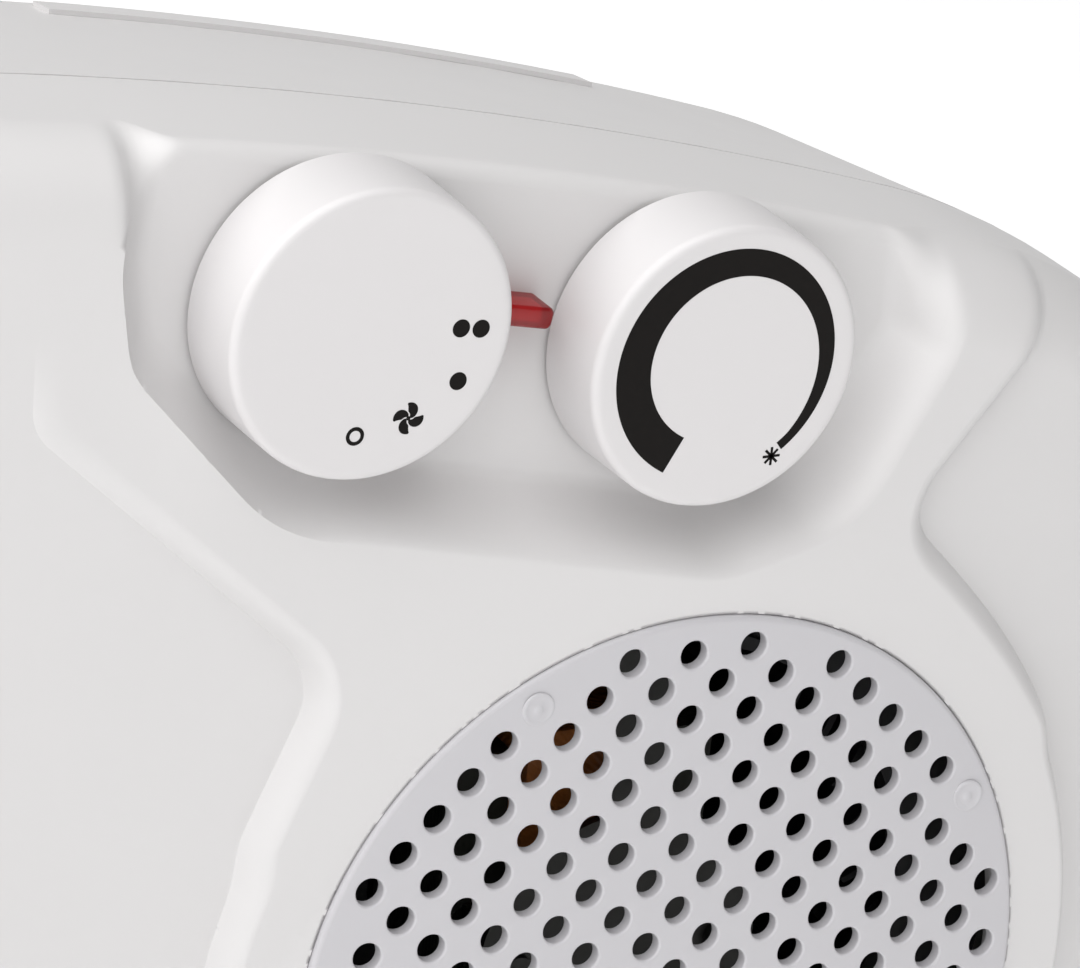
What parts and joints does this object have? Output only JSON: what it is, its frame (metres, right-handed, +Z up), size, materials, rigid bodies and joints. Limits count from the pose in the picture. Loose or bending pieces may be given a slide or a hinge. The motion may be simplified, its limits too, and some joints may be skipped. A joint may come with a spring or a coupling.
{
  "type": "ceramic space heater",
  "caption": "Wall-hung ceramic fan heater with an arched case, a round perforated intake grille, rotary mode and thermostat knobs, a red indicator lens and a downward outlet louvre.",
  "frame": {"origin": "middle of the case's width on the wall face, 127 mm above the case's bottom", "axes": "+X to the right seen from the front, +Y into the wall, +Z up"},
  "size_m": [0.45, 0.1246, 0.2487],
  "materials": {
    "aluminium": "bare aluminium",
    "black_plastic": "phenolic",
    "brass": "sintered bronze",
    "ceramic": "barium titanate ceramic",
    "coil": "copper winding under orange tape",
    "cream_plastic": "polypropylene",
    "grey_plastic": "glass-filled nylon",
    "lamination": "oxidised laminations",
    "lamp_glass": "neon lamp",
    "red_lens": "clear red acrylic",
    "rubber": "black rubber",
    "steel": "zinc-plated steel",
    "white_grille": "satin moulded ABS",
    "white_knob": "satin moulded ABS with black print",
    "white_shell": "satin moulded ABS",
    "white_steel": "powder-coated steel"
  },
  "bodies": {
    "case": {"front_cover": "white_shell", "rear_shell": "white_shell", "top_trim": "white_shell", "intake_grille": "white_grille", "grille_pins": "white_grille", "housing_screws": "steel", "scroll_screws": "steel", "mode_switch": "black_plastic", "thermostat_switch": "cream_plastic", "control_bracket": "steel", "bracket_screws": "steel", "shaft_nuts": "steel", "indicator_lens": "red_lens", "indicator_lamp": "lamp_glass", "lamp_holder": "cream_plastic", "scroll_back": "grey_plastic", "scroll_front": "grey_plastic", "motor_stator": "lamination", "motor_coil": "coil", "motor_bearings": "brass", "motor_bracket_front": "steel", "motor_bracket_rear": "steel", "motor_star": "steel", "star_screws": "steel", "rubber_mounts": "rubber", "motor_bolts": "steel", "motor_nuts": "steel", "heater_frame": "cream_plastic", "heater_fins": "aluminium", "ptc_ceramics": "ceramic", "electrode_plates": "aluminium", "thermal_cutout": "steel", "thermal_fuse": "aluminium", "outlet_grille": "grey_plastic", "terminal_block": "cream_plastic", "terminal_screws": "steel", "cable_gland": "black_plastic", "wall_bracket": "white_steel", "wall_bumpers": "rubber"},
    "mode_dial": {"mode_knob": "white_knob", "mode_shaft": "steel"},
    "thermostat_dial": {"thermostat_knob": "white_knob", "thermostat_shaft": "steel"},
    "rotor": {"fan_wheel": "black_plastic", "motor_rotor": "aluminium", "motor_shaft": "steel", "wheel_clip": "steel"}
  },
  "joints": [
    {"name": "mode_turn", "type": "hinge", "parent": "case", "child": "mode_dial", "pos_m": [0.0181, -0.1016, 0.08927], "axis": [0, -1, 0], "range_deg": [0, 90]},
    {"name": "thermostat_turn", "type": "hinge", "parent": "case", "child": "thermostat_dial", "pos_m": [0.0744, -0.1016, 0.07832], "axis": [0, -1, 0], "range_deg": [-72, 227]},
    {"name": "fan_spin", "type": "hinge", "parent": "case", "child": "rotor", "pos_m": [0.075, -0.08, -0.022], "axis": [0, -1, 0], "continuous": true}
  ]
}
